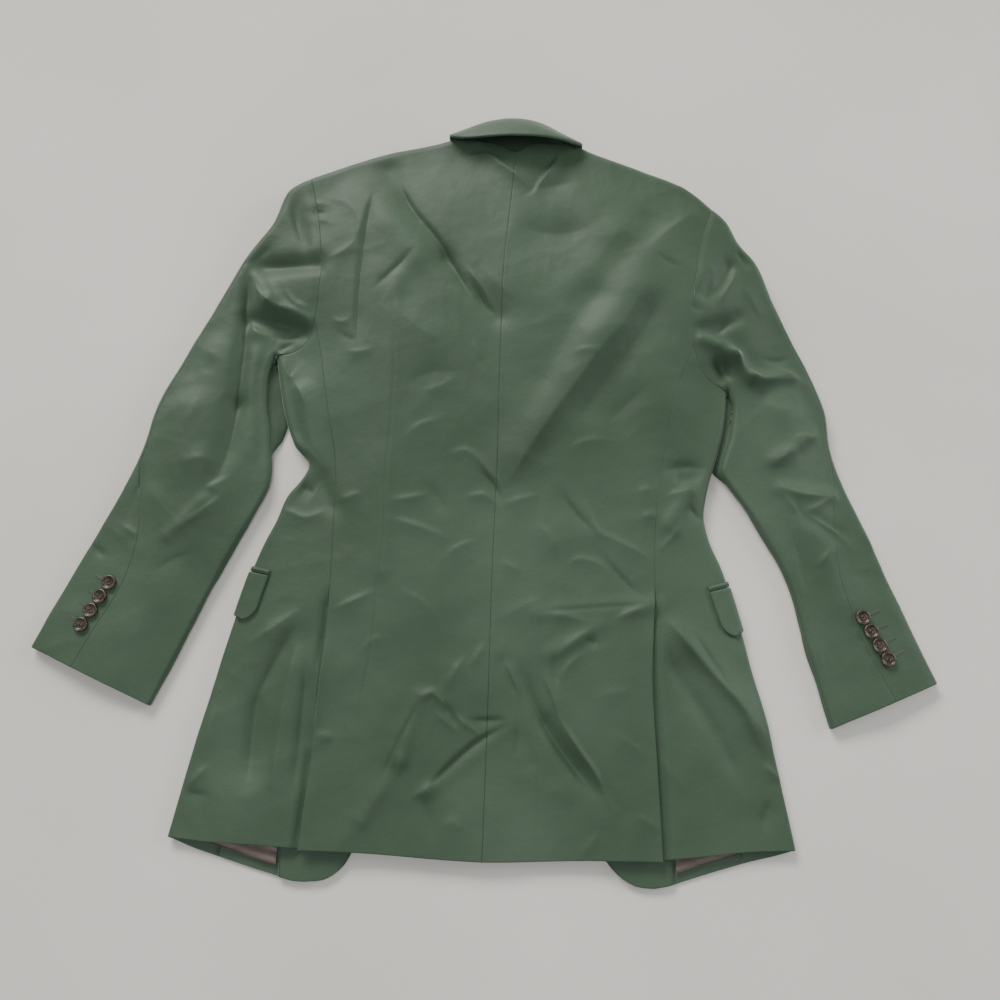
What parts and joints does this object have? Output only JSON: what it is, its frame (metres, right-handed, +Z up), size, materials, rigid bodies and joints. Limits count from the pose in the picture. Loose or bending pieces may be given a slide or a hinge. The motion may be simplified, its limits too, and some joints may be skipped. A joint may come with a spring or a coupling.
{
  "type": "suit jacket",
  "caption": "Tailored jacket laid flat, face down, with back panels, side panels with flap pockets, two-piece sleeves with buttoned cuff vents, turned-down collar and cutaway front quarters.",
  "frame": {"origin": "under the middle of the laid-out outline, on the surface it lies on", "axes": "+X from the wearer's left sleeve to the right one, +Y from the hem to the collar, +Z up from the surface to the back"},
  "size_m": [0.8477, 0.772, 0.0517],
  "materials": {
    "cloth": "satin",
    "lining": "satin",
    "button": "gloss"
  },
  "bodies": {
    "root": {"back_left": "cloth", "back_right": "cloth", "collar": "cloth", "cuff_button_left_1": "button", "cuff_button_left_2": "button", "cuff_button_left_3": "button", "cuff_button_left_4": "button", "cuff_button_right_1": "button", "cuff_button_right_2": "button", "cuff_button_right_3": "button", "cuff_button_right_4": "button", "facing_left": "cloth", "facing_right": "cloth", "front_left": "cloth", "front_lining_left": "lining", "front_lining_right": "lining", "front_right": "cloth", "lapel_left": "cloth", "lapel_right": "cloth", "pocket_flap_left": "cloth", "pocket_flap_right": "cloth", "pocket_welt_left": "cloth", "pocket_welt_right": "cloth", "side_left": "cloth", "side_right": "cloth", "sleeve_top_left": "cloth", "sleeve_top_right": "cloth", "sleeve_under_left": "cloth", "sleeve_under_right": "cloth"}
  },
  "joints": []
}
